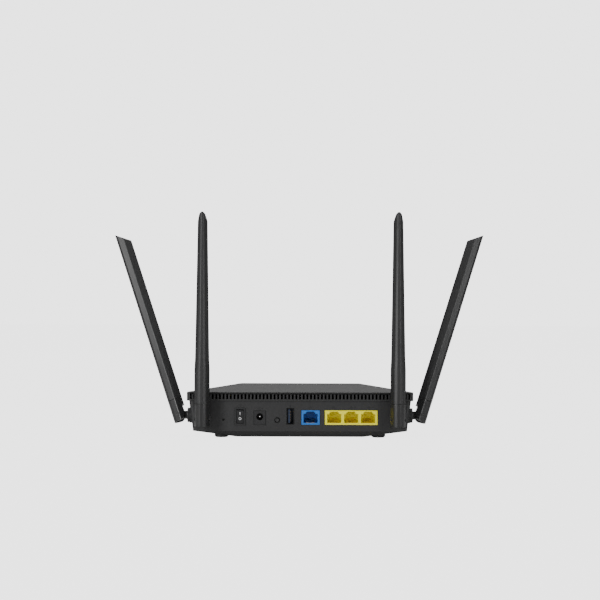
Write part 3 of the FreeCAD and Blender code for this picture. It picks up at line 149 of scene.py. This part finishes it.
class Paint(NodeTree):
    """One material: a principled shader, its textures and the edges' rounding."""

    def __init__(self, name, edge=0.00025):
        self.material = bpy.data.materials.new(name)
        super().__init__(self.material)
        self.shader = self.node("ShaderNodeBsdfPrincipled")
        self.output = self.node("ShaderNodeOutputMaterial", None,
                                {"Surface": self.shader.outputs[0]})
        self.place = self.node("ShaderNodeTexCoord").outputs["Object"]
        rounding = self.node("ShaderNodeBevel", {"samples": 4}, {"Radius": edge})
        self.normal = rounding.outputs["Normal"]

    def stretched(self, stretch):
        """Object coordinates scaled along each axis."""
        node = self.node("ShaderNodeVectorMath", {"operation": "MULTIPLY"},
                         {0: self.place, 1: stretch})
        return node.outputs[0]

    def noise(self, size, detail=2.0, stretch=(1, 1, 1)):
        """Smooth noise whose features are about this size, in metres."""
        node = self.node("ShaderNodeTexNoise", None,
                         {"Vector": self.stretched(stretch), "Scale": 1 / size,
                          "Detail": detail, "Roughness": 0.55})
        return Field(self, node.outputs["Fac"])

    def cells(self, size):
        """Distance to the nearest of scattered points about this far apart."""
        node = self.node("ShaderNodeTexVoronoi", None,
                         {"Vector": self.place, "Scale": 1 / size})
        return Field(self, node.outputs["Distance"])

    def blend(self, share, first, second):
        """A colour between two others."""
        node = self.node("ShaderNodeMix", {"data_type": "RGBA"},
                         {0: share, 6: first, 7: second})
        return node.outputs[2]

    def bump(self, height, depth):
        """Raises the surface by a field, with a full rise of depth metres."""
        node = self.node("ShaderNodeBump", None,
                         {"Height": height, "Distance": depth, "Normal": self.normal})
        self.normal = node.outputs["Normal"]

    def glow(self, colour, strength, share):
        """Washes the surface out towards plain light where the camera sees it."""
        light = self.node("ShaderNodeEmission", None, {"Color": colour, "Strength": strength})
        seen = Field(self, self.node("ShaderNodeLightPath").outputs["Is Camera Ray"])
        mix = self.node("ShaderNodeMixShader", None,
                        {0: seen * share, 1: self.shader.outputs[0], 2: light.outputs[0]})
        self.feed(self.output.inputs["Surface"], mix.outputs[0])

    def edges(self):
        """1 on sharp edges and 0 on flats."""
        facing = self.node("ShaderNodeNewGeometry").outputs["Normal"]
        dot = self.node("ShaderNodeVectorMath", {"operation": "DOT_PRODUCT"},
                        {0: facing, 1: self.normal})
        return (1 - Field(self, dot.outputs["Value"])).above(0.06, 0.05)

    def finish(self, colour, roughness, **fixed):
        """Feeds the shader; the fixed sockets take one value all over."""
        self.feed(self.shader.inputs["Base Color"], colour)
        self.feed(self.shader.inputs["Roughness"], roughness)
        self.feed(self.shader.inputs["Normal"], self.normal)
        for name, value in fixed.items():
            self.feed(self.shader.inputs[name.replace("_", " ")], value)
        return self.material


def shade(colour, factor):
    """A colour made lighter or darker, with its alpha."""
    return tuple(min(1.0, channel * factor) for channel in colour[:3]) + (1.0,)


def wear(material, *names):
    """Gives CAD nodes one material."""
    for name in names:
        slots = NODES[name].data.materials
        slots.clear()
        slots.append(material)


# ---- materials ----

def moulded_plastic(name, colour, roughness, grain, depth, edge=0.00025, polish=0.5):
    """Injection-moulded plastic with a spark-eroded grain, faint handling marks and a painted
    highlight on sharp edges.
    """
    paint = Paint(name, edge)
    cloud = paint.noise(0.03, 3.0)
    speck = paint.noise(grain, 2.0)
    rub = paint.noise(0.008, 4.0, (1, 1, 0.25)).above(0.66, 0.08)
    # painted highlight: a mask of the sharp edges, used below to lighten the base colour there
    painted_edge_highlight = paint.edges()
    paint.bump(speck, depth)
    paint.bump(paint.cells(grain * 2.2), depth * 0.6)
    base = paint.blend(cloud, shade(colour, 0.9), shade(colour, 1.1))
    base = paint.blend(speck.above(0.5, 0.2) * 0.35, base, shade(colour, 1.35))
    # painted highlight: sharp edges lightened towards twice the base colour, standing in for
    # light caught on rounded edges
    base = paint.blend(painted_edge_highlight * 0.35, base, shade(colour, 2.0))
    rough = roughness + (cloud - 0.5) * 0.08 + (speck - 0.5) * 0.1 - rub * 0.05
    return paint.finish(base, rough, Specular_IOR_Level=polish)


def clear_plastic(name, colour):
    """Clear or smoked plastic, drawn as a glossy tinted solid."""
    paint = Paint(name)
    haze = paint.noise(0.002, 2.0)
    paint.bump(haze, 0.00001)
    base = paint.blend(haze, shade(colour, 0.9), shade(colour, 1.1))
    return paint.finish(base, 0.12 + haze * 0.06)


def plated_metal(name, colour, roughness, lay=(1, 1, 1)):
    """Rolled and plated sheet, with fine lines along its lay and a little tarnish."""
    paint = Paint(name, 0.0001)
    lines = paint.noise(0.0004, 3.0, lay)
    tarnish = paint.noise(0.004, 3.0).above(0.62, 0.12)
    paint.bump(lines, 0.000004)
    base = paint.blend(lines, shade(colour, 0.92), shade(colour, 1.05))
    base = paint.blend(tarnish * 0.3, base, shade(colour, 0.7))
    rough = roughness + lines * 0.12 + tarnish * 0.1
    return paint.finish(base, rough, Metallic=1.0)


def soft_rubber(name, colour):
    """Matt rubber with a talc bloom."""
    paint = Paint(name, 0.0004)
    bloom = paint.noise(0.003, 4.0)
    paint.bump(paint.noise(0.0003, 2.0), 0.00002)
    base = paint.blend(bloom.above(0.6, 0.15) * 0.5, colour, shade(colour, 2.2))
    return paint.finish(base, 0.75 + bloom * 0.15)


def solder_resist(name, colour):
    """Board laminate: tracks under the resist show as raised bands."""
    paint = Paint(name, 0.0001)
    weave = paint.noise(0.0006, 1.0, (1, 0.2, 1))
    tracks = paint.noise(0.004, 0.0, (0.3, 1, 1)).above(0.52, 0.01)
    paint.bump(tracks, 0.00003)
    base = paint.blend(tracks, shade(colour, 0.75), shade(colour, 1.3))
    base = paint.blend(weave * 0.2, base, shade(colour, 1.5))
    return paint.finish(base, 0.3 + weave * 0.1)


def print_ink(name, colour):
    """Pad-printed ink with a slightly broken edge."""
    paint = Paint(name, 0.00002)
    thin = paint.noise(0.0002, 2.0)
    base = paint.blend(thin.above(0.35, 0.1), shade(colour, 0.7), colour)
    return paint.finish(base, 0.5 + thin * 0.15)


# ---- meshes ----

def new_piece(name, build, material, body):
    """A mesh piece, made in the shared frame, that rides on a body."""
    mesh = bpy.data.meshes.new(name)
    shell = bmesh.new()
    build(shell)
    bmesh.ops.recalc_face_normals(shell, faces=shell.faces)
    shell.to_mesh(mesh)
    shell.free()
    piece = bpy.data.objects.new(name, mesh)
    bpy.context.scene.collection.objects.link(piece)
    mesh.materials.append(material)
    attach(piece, body)


def add_prism(shell, outline, lift, place):
    """A thin plate over an outline of (across, up) points; place maps to the frame."""
    rings = []
    for level in (0.0, lift):
        rings.append([shell.verts.new(place(x, level, z)) for x, z in outline])
    shell.faces.new(rings[0])
    shell.faces.new(rings[1])
    add_band(shell, rings[0], rings[1], True)


def add_band(shell, first, second, closed):
    """Faces between two rows of vertices."""
    count = len(first) if closed else len(first) - 1
    for index in range(count):
        after = (index + 1) % len(first)
        shell.faces.new((first[index], first[after], second[after], second[index]))


def add_ring(shell, centre, outer, inner, lift, place, sweep=(0.0, 360.0), steps=32):
    """A flat ring, or an arc of one, raised by lift."""
    whole = sweep[1] - sweep[0] >= 360.0
    count = steps if whole else steps + 1
    rows = []
    for radius, level in ((outer, 0.0), (outer, lift), (inner, lift), (inner, 0.0)):
        row = []
        for index in range(count):
            angle = math.radians(sweep[0] + (sweep[1] - sweep[0]) * index / steps)
            x = centre[0] + radius * math.cos(angle)
            z = centre[1] + radius * math.sin(angle)
            row.append(shell.verts.new(place(x, level, z)))
        rows.append(row)
    for index in range(4):
        add_band(shell, rows[index], rows[(index + 1) % 4], whole)
    if not whole:
        for end in (0, -1):
            shell.faces.new([row[end] for row in rows])


def block(x, z, width, height):
    """An upright rectangle's outline about its centre."""
    return [(x - width / 2, z - height / 2), (x + width / 2, z - height / 2),
            (x + width / 2, z + height / 2), (x - width / 2, z + height / 2)]


# ---- settings ----

class RouterFinish(bpy.types.PropertyGroup):
    """Colours and grain of the router's own plastics."""
    case_colour: FloatVectorProperty(
        name="Case", description="Charcoal of the lower case and cover", subtype="COLOR",
        size=4, min=0, max=1, default=(0.017, 0.017, 0.0175, 1))
    antenna_colour: FloatVectorProperty(
        name="Antennas", description="Plastic of the antenna blades", subtype="COLOR",
        size=4, min=0, max=1, default=(0.017, 0.017, 0.0175, 1))
    wan_colour: FloatVectorProperty(
        name="Single socket", description="Blue of the single network socket",
        subtype="COLOR", size=4, min=0, max=1, default=(0.02, 0.15, 0.50, 1))
    lan_colour: FloatVectorProperty(
        name="Ganged sockets", description="Yellow of the ganged network sockets",
        subtype="COLOR", size=4, min=0, max=1, default=(1.0, 0.86, 0.02, 1))
    grain: FloatProperty(
        name="Grain", description="Size of the spark-eroded grain", unit="LENGTH",
        min=0.0001, max=0.005, default=0.0005, precision=5)
    mark_lift: FloatProperty(
        name="Mark thickness", description="Thickness of printed marks", unit="LENGTH",
        min=0.00001, max=0.001, default=0.00006, precision=5)


class RouterStage(bpy.types.PropertyGroup):
    """Camera and studio lights."""
    camera_distance: FloatProperty(
        name="Distance", description="Camera from the rear panel", unit="LENGTH",
        min=0.2, max=5, default=0.900)
    camera_height: FloatProperty(
        name="Height", description="Camera above the table", unit="LENGTH",
        min=0.0, max=2, default=0.0975, precision=4)
    camera_side: FloatProperty(
        name="Side step", description="Camera to the side of the middle", unit="LENGTH",
        min=-1, max=1, default=0.0003, precision=4)
    camera_pitch: FloatProperty(
        name="Pitch", description="Camera tipped up", subtype="ANGLE",
        min=-1.5, max=1.5, default=math.radians(1.05))
    camera_roll: FloatProperty(
        name="Roll", description="Camera turned about its view", subtype="ANGLE",
        min=-1.5, max=1.5, default=math.radians(0.17))
    lens: FloatProperty(
        name="Lens", description="Focal length on a 36 mm sensor", min=10, max=300,
        default=65.4)
    side_light: FloatProperty(
        name="Side lights", description="Power of each side softbox", min=0, max=500,
        default=11.0)
    fill: FloatProperty(
        name="Fill", description="Power of the far side softbox against the near one",
        min=0, max=1, default=0.5)
    top_light: FloatProperty(
        name="Top light", description="Power of the overhead softbox", min=0, max=500,
        default=6.0)
    rim_light: FloatProperty(
        name="Rim light", description="Power of the softbox beyond the router", min=0,
        max=500, default=13.0)
    sky: FloatProperty(
        name="Surround", description="Light that the pale surround casts", min=0, max=20,
        default=0.19)
    backdrop: FloatProperty(
        name="Backdrop", description="How bright floor and surround look", min=0, max=50,
        default=3.0)


# ---- operators ----

class ROUTER_OT_case(bpy.types.Operator):
    """Grained charcoal plastic on cover, lower case and round button; smoked window."""
    bl_idname = "router.case"
    bl_label = "Case"

    def execute(self, context):
        look = context.scene.router_finish
        shell = moulded_plastic("case_plastic", look.case_colour, 0.55, look.grain, 0.00003)
        cover = moulded_plastic("cover_plastic", look.case_colour, 0.48, look.grain, 0.00003)
        button = moulded_plastic("button_plastic", shade(look.case_colour, 1.2), 0.45,
                                 look.grain * 0.7, 0.00001, 0.0001)
        wear(shell, "bottom_shell")
        wear(cover, "top_cover")
        wear(button, "wps_button")
        wear(clear_plastic("smoked_window", (0.012, 0.012, 0.014)), "indicator_window")
        return {"FINISHED"}


class ROUTER_OT_antennas(bpy.types.Operator):
    """Satin blades, and slightly glossier forks and hubs."""
    bl_idname = "router.antennas"
    bl_label = "Antennas"

    def execute(self, context):
        look = context.scene.router_finish
        blade = moulded_plastic("antenna_satin", look.antenna_colour, 0.42,
                                look.grain * 0.8, 0.000012, 0.0004)
        fork = moulded_plastic("fork_plastic", look.antenna_colour, 0.3,
                               look.grain * 0.7, 0.000008, 0.0003)
        hub = moulded_plastic("hub_plastic", look.antenna_colour, 0.36,
                              look.grain * 0.7, 0.000008, 0.0002)
        pin = plated_metal("pin_steel", (0.10, 0.10, 0.10), 0.35)
        clip = plated_metal("clip_steel", (0.55, 0.54, 0.52), 0.3)
        brass = plated_metal("radiator_brass", (0.78, 0.55, 0.2), 0.3, (1, 1, 0.1))
        for antenna in ANTENNAS:
            wear(blade, antenna + "_blade")
            wear(fork, antenna + "_base")
            wear(hub, antenna + "_hub")
            wear(pin, antenna + "_pin")
            wear(clip, antenna + "_clip")
            wear(brass, antenna + "_radiator")
        return {"FINISHED"}


class ROUTER_OT_network_sockets(bpy.types.Operator):
    """Coloured network sockets and their gold wires."""
    bl_idname = "router.network_sockets"
    bl_label = "Network sockets"

    def execute(self, context):
        look = context.scene.router_finish
        for name, node, colour in (("blue_socket", "wan_jack_housing", look.wan_colour),
                                   ("yellow_socket", "lan_jack_housing", look.lan_colour)):
            wear(moulded_plastic(name, colour, 0.4, look.grain * 0.6, 0.000006, 0.0001), node)
        gold = plated_metal("gold_wire", (0.85, 0.6, 0.22), 0.22, (1, 0.1, 1))
        wear(gold, "wan_jack_contacts", "lan_jack_contacts", "usb_contacts")
        return {"FINISHED"}


class ROUTER_OT_power_and_usb(bpy.types.Operator):
    """Black-nickel shell with a dark blue tongue, barrel inlet and its bright pin."""
    bl_idname = "router.power_and_usb"
    bl_label = "Power and USB"

    def execute(self, context):
        look = context.scene.router_finish
        nickel = plated_metal("nickel_plate", (0.62, 0.61, 0.59), 0.2, (1, 0.15, 1))
        dark = plated_metal("black_nickel", (0.05, 0.05, 0.052), 0.35, (1, 0.15, 1))
        blue = moulded_plastic("tongue_plastic", (0.012, 0.022, 0.05), 0.4,
                               look.grain * 0.6, 0.000004, 0.0001)
        black = moulded_plastic("connector_black", (0.014, 0.014, 0.015), 0.45,
                                look.grain * 0.6, 0.000006, 0.0001)
        wear(dark, "usb_shell")
        wear(blue, "usb_tongue")
        wear(nickel, "dc_jack_pin")
        wear(black, "dc_jack_housing", "wps_switch", "reset_switch", "reset_plunger")
        wear(plated_metal("tin_plate", (0.6, 0.6, 0.6), 0.3), "dc_jack_spring",
             "power_switch_terminals", "shield_cans")
        return {"FINISHED"}


class ROUTER_OT_power_switch(bpy.types.Operator):
    """Satin switch with a white bar over a white ring on its rocker."""
    bl_idname = "router.power_switch"
    bl_label = "Power switch"

    def execute(self, context):
        look = context.scene.router_finish
        satin = moulded_plastic("switch_satin", (0.016, 0.016, 0.017), 0.32,
                                look.grain * 0.6, 0.000005, 0.00015)
        wear(satin, "power_switch_housing", "power_rocker")
        ink = print_ink("white_ink", (0.8, 0.8, 0.8, 1))
        joint = JOINTS["power_rock"]
        pivot = Vector(joint["pos_m"])
        tilt = -math.radians(joint["range_deg"][1]) / 2
        turn = Matrix.Rotation(tilt, 4, Vector(joint["axis"]))

        def face(rise):
            """Maps a mark at a height on the upper or lower half of the dished face."""
            slope = Matrix.Rotation(-math.copysign(math.atan(DISH_SLOPE), rise), 4, "X")

            def place(x, level, z):
                local = slope @ Vector((x, level, z))
                centre = Vector((0, DISH_MIDDLE + abs(rise) * DISH_SLOPE, rise))
                return pivot + turn @ (centre + local)

            return place

        lift = look.mark_lift
        bar = block(0, 0, 0.5 * MM, 2.1 * MM)
        new_piece("rocker_on_mark",
                  lambda shell: add_prism(shell, bar, lift, face(BAR_RISE)), ink, "rocker")
        new_piece("rocker_off_mark",
                  lambda shell: add_ring(shell, (0, 0), 1.1 * MM, 0.7 * MM, lift,
                                         face(RING_RISE)), ink, "rocker")
        return {"FINISHED"}


class ROUTER_OT_panel_marks(bpy.types.Operator):
    """Plain dark marks over each socket and control."""
    bl_idname = "router.panel_marks"
    bl_label = "Panel marks"

    def execute(self, context):
        look = context.scene.router_finish
        ink = print_ink("dark_ink", (0.007, 0.007, 0.008, 1))
        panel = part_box("usb_shell")[1].y - SHELL_PROUD
        lift = look.mark_lift

        def place(x, level, z):
            return Vector((x, panel + level, z))

        def bar(shell, x, z, width, height):
            add_prism(shell, block(x, z, width, height), lift, place)

        def power(shell, x, z):
            add_ring(shell, (x, z), MARK_RADIUS, MARK_RADIUS - STROKE, lift, place, (125, 415))
            bar(shell, x, z + 0.8 * MM, STROKE, 1.3 * MM)

        def inlet(shell, x, z):
            """A dot inside an open ring between two short bars, as on any barrel inlet."""
            add_ring(shell, (x, z), 0.5 * MM, 0.1 * MM, lift, place)
            add_ring(shell, (x, z), MARK_RADIUS, MARK_RADIUS - STROKE, lift, place, (-130, 130))
            for side in (-1, 1):
                bar(shell, x + side * 2.1 * MM, z, 1.2 * MM, STROKE)
            bar(shell, x - 2.1 * MM, z, STROKE, 1.2 * MM)

        def pairing(shell, x, z):
            for start in (20, 200):
                add_ring(shell, (x, z), ARROW_RADIUS, ARROW_RADIUS - STROKE, lift, place,
                         (start, start + 130))

        def restart(shell, x, z):
            add_ring(shell, (x, z), ARROW_RADIUS, ARROW_RADIUS - STROKE, lift, place, (-40, 250))
            bar(shell, x + 0.9 * MM, z - 0.8 * MM, 0.8 * MM, STROKE)

        def serial(shell, x, z):
            bar(shell, x, z, STROKE, 2.4 * MM)
            add_ring(shell, (x, z - 1.2 * MM), 0.5 * MM, 0.1 * MM, lift, place)
            bar(shell, x, z + 0.2 * MM, 1.4 * MM, STROKE)

        def network(shell, x, z):
            for step in (-1, 0, 1):
                bar(shell, x + step * DOT_STEP, z - 0.7 * MM, 0.6 * MM, 0.6 * MM)
            bar(shell, x, z, 2.6 * MM, STROKE)
            bar(shell, x, z + 0.7 * MM, 0.8 * MM, 0.8 * MM)

        def local(count):
            """The network mark with one to three dots beside it."""
            def draw(shell, x, z):
                network(shell, x, z)
                for dot in range(count):
                    spot = (x - 2.4 * MM - dot * DOT_STEP, z)
                    add_ring(shell, spot, 0.36 * MM, 0.08 * MM, lift, place, steps=16)
            return draw

        def over(node, gap):
            """The mark's place: over the middle of a node."""
            low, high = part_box(node)
            return (low.x + high.x) / 2, high.z + gap

        marks = {
            "power_mark": (power, over("power_switch_housing", 2.1 * MM)),
            "inlet_mark": (inlet, over("dc_jack_housing", 2.0 * MM)),
            "pairing_mark": (pairing, over("wps_button", 2.6 * MM)),
            "restart_mark": (restart, over("reset_plunger", 3.4 * MM)),
            "serial_mark": (serial, over("usb_shell", 2.3 * MM)),
            "network_mark": (network, over("wan_jack_housing", 2.6 * MM)),
        }
        low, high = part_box("lan_jack_housing")
        pitch = (high.x - low.x) / 3
        for index in range(3):
            x = (low.x + high.x) / 2 + (1 - index) * pitch
            marks["local_mark_%d" % (index + 1)] = (local(index + 1), (x, high.z + 2.6 * MM))
        for name, (draw, spot) in marks.items():
            new_piece(name, lambda shell, d=draw, at=spot: d(shell, *at), ink, "case")
        return {"FINISHED"}


class ROUTER_OT_underside(bpy.types.Operator):
    """Rubber feet, blank label and plated screws."""
    bl_idname = "router.underside"
    bl_label = "Underside"

    def execute(self, context):
        wear(soft_rubber("foot_rubber", (0.02, 0.02, 0.02, 1)), "rubber_feet")
        wear(print_ink("label_paper", (0.72, 0.72, 0.70, 1)), "rating_label")
        steel = plated_metal("screw_zinc", (0.45, 0.45, 0.44), 0.35)
        wear(steel, "case_screws", "board_screws")
        return {"FINISHED"}


class ROUTER_OT_inside(bpy.types.Operator):
    """The board, what stands on it, the lamps' light guide and the antenna leads."""
    bl_idname = "router.inside"
    bl_label = "Inside"

    def execute(self, context):
        epoxy = moulded_plastic("chip_epoxy", (0.02, 0.02, 0.021), 0.6, 0.0003, 0.000005)
        wear(epoxy, "processor", "memory_chips", "line_transformers", "power_inductors")
        wear(solder_resist("solder_resist", (0.02, 0.12, 0.05)), "main_board")
        wear(soft_rubber("silicone_pad", (0.45, 0.47, 0.5, 1)), "thermal_pad")
        wear(plated_metal("sink_aluminium", (0.7, 0.7, 0.71), 0.35, (1, 0.1, 1)),
             "heatsink", "capacitors")
        wear(clear_plastic("clear_guide", (0.7, 0.72, 0.74)), "light_guide",
             "indicator_leds")
        wear(soft_rubber("cable_jacket", (0.02, 0.02, 0.02, 1)), "antenna_leads")
        return {"FINISHED"}


class ROUTER_OT_stage(bpy.types.Operator):
    """Pale floor, soft lights and the camera."""
    bl_idname = "router.stage"
    bl_label = "Stage"

    def execute(self, context):
        look = context.scene.router_stage
        self.floor(look)
        self.surround(context.scene, look)
        for side, share in ((1, 1), (-1, look.fill)):
            place = SIDE_BOX * Vector((side, 1, 1))
            self.softbox("side_softbox", place, (0.35, 0.6), look.side_light * share)
        self.softbox("top_softbox", TOP_BOX, (1.0, 0.8), look.top_light)
        self.softbox("rim_softbox", RIM_BOX, (2.6, 0.7), look.rim_light)
        self.camera(context.scene, look)
        return {"FINISHED"}

    def floor(self, look):
        """A wide pale table top that looks as bright as the surround."""
        mesh = bpy.data.meshes.new("floor")
        shell = bmesh.new()
        bmesh.ops.create_circle(shell, cap_ends=True, segments=96, radius=FLOOR_RADIUS)
        shell.to_mesh(mesh)
        shell.free()
        floor = bpy.data.objects.new("floor", mesh)
        bpy.context.scene.collection.objects.link(floor)
        paint = Paint("pale_floor", 0.0)
        cloud = paint.noise(0.4, 3.0)
        base = paint.blend(cloud, (0.80, 0.80, 0.80, 1), (0.84, 0.84, 0.84, 1))
        paint.finish(base, 0.8 + cloud * 0.1)
        paint.glow((1, 1, 1, 1), look.backdrop * FLOOR_GAIN, FLOOR_WASH)
        mesh.materials.append(paint.material)

    def surround(self, scene, look):
        """A bright backdrop that lights the router only softly."""
        world = bpy.data.worlds.new("pale_surround")
        tree = NodeTree(world)
        white = (1, 1, 1, 1)
        soft = tree.node("ShaderNodeBackground", None,
                         {"Color": white, "Strength": look.sky})
        bright = tree.node("ShaderNodeBackground", None,
                           {"Color": white, "Strength": look.backdrop})
        seen = tree.node("ShaderNodeLightPath").outputs["Is Camera Ray"]
        mix = tree.node("ShaderNodeMixShader", None,
                        {0: seen, 1: soft.outputs[0], 2: bright.outputs[0]})
        tree.node("ShaderNodeOutputWorld", None, {"Surface": mix.outputs[0]})
        scene.world = world

    def softbox(self, name, place, size, power):
        """A rectangular light of a width and height, aimed at the router."""
        light = bpy.data.lights.new(name, "AREA")
        light.shape = "RECTANGLE"
        light.size, light.size_y = size
        light.energy = power
        lamp = bpy.data.objects.new(name, light)
        lamp.location = place
        lamp.rotation_euler = (AIM - place).to_track_quat("-Z", "Y").to_euler()
        bpy.context.scene.collection.objects.link(lamp)

    def camera(self, scene, look):
        data = bpy.data.cameras.new("camera")
        data.lens = look.lens
        data.sensor_width = 36
        data.clip_end = 50
        camera = bpy.data.objects.new("camera", data)
        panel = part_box("usb_shell")[1].y
        camera.location = (look.camera_side, panel + look.camera_distance, look.camera_height)
        facing = Matrix.Rotation(math.pi, 4, "Z")
        tip = Matrix.Rotation(math.pi / 2 + look.camera_pitch, 4, "X")
        roll = Matrix.Rotation(look.camera_roll, 4, "Z")
        camera.rotation_euler = (facing @ tip @ roll).to_euler()
        scene.collection.objects.link(camera)
        scene.camera = camera


class ROUTER_PT_sidebar(bpy.types.Panel):
    """Lists the router's operators and settings."""
    bl_idname = "ROUTER_PT_sidebar"
    bl_label = "Router"
    bl_space_type = "VIEW_3D"
    bl_region_type = "UI"
    bl_category = "Router"

    def draw(self, context):
        for settings in (context.scene.router_finish, context.scene.router_stage):
            for name in settings.bl_rna.properties.keys():
                if name not in {"rna_type", "name"}:
                    self.layout.prop(settings, name)
        for operator in OPERATORS:
            self.layout.operator(operator.bl_idname)


OPERATORS = (
    ROUTER_OT_case,
    ROUTER_OT_antennas,
    ROUTER_OT_network_sockets,
    ROUTER_OT_power_and_usb,
    ROUTER_OT_power_switch,
    ROUTER_OT_panel_marks,
    ROUTER_OT_underside,
    ROUTER_OT_inside,
    ROUTER_OT_stage,
)
CLASSES = (RouterFinish, RouterStage, *OPERATORS, ROUTER_PT_sidebar)


def register():
    for item in CLASSES:
        bpy.utils.register_class(item)
    bpy.types.Scene.router_finish = PointerProperty(type=RouterFinish)
    bpy.types.Scene.router_stage = PointerProperty(type=RouterStage)


def unregister():
    del bpy.types.Scene.router_stage
    del bpy.types.Scene.router_finish
    for item in reversed(CLASSES):
        bpy.utils.unregister_class(item)


def main():
    register()
    for operator in OPERATORS:
        group, name = operator.bl_idname.split(".")
        getattr(getattr(bpy.ops, group), name)()


if __name__ == "__main__":
    main()
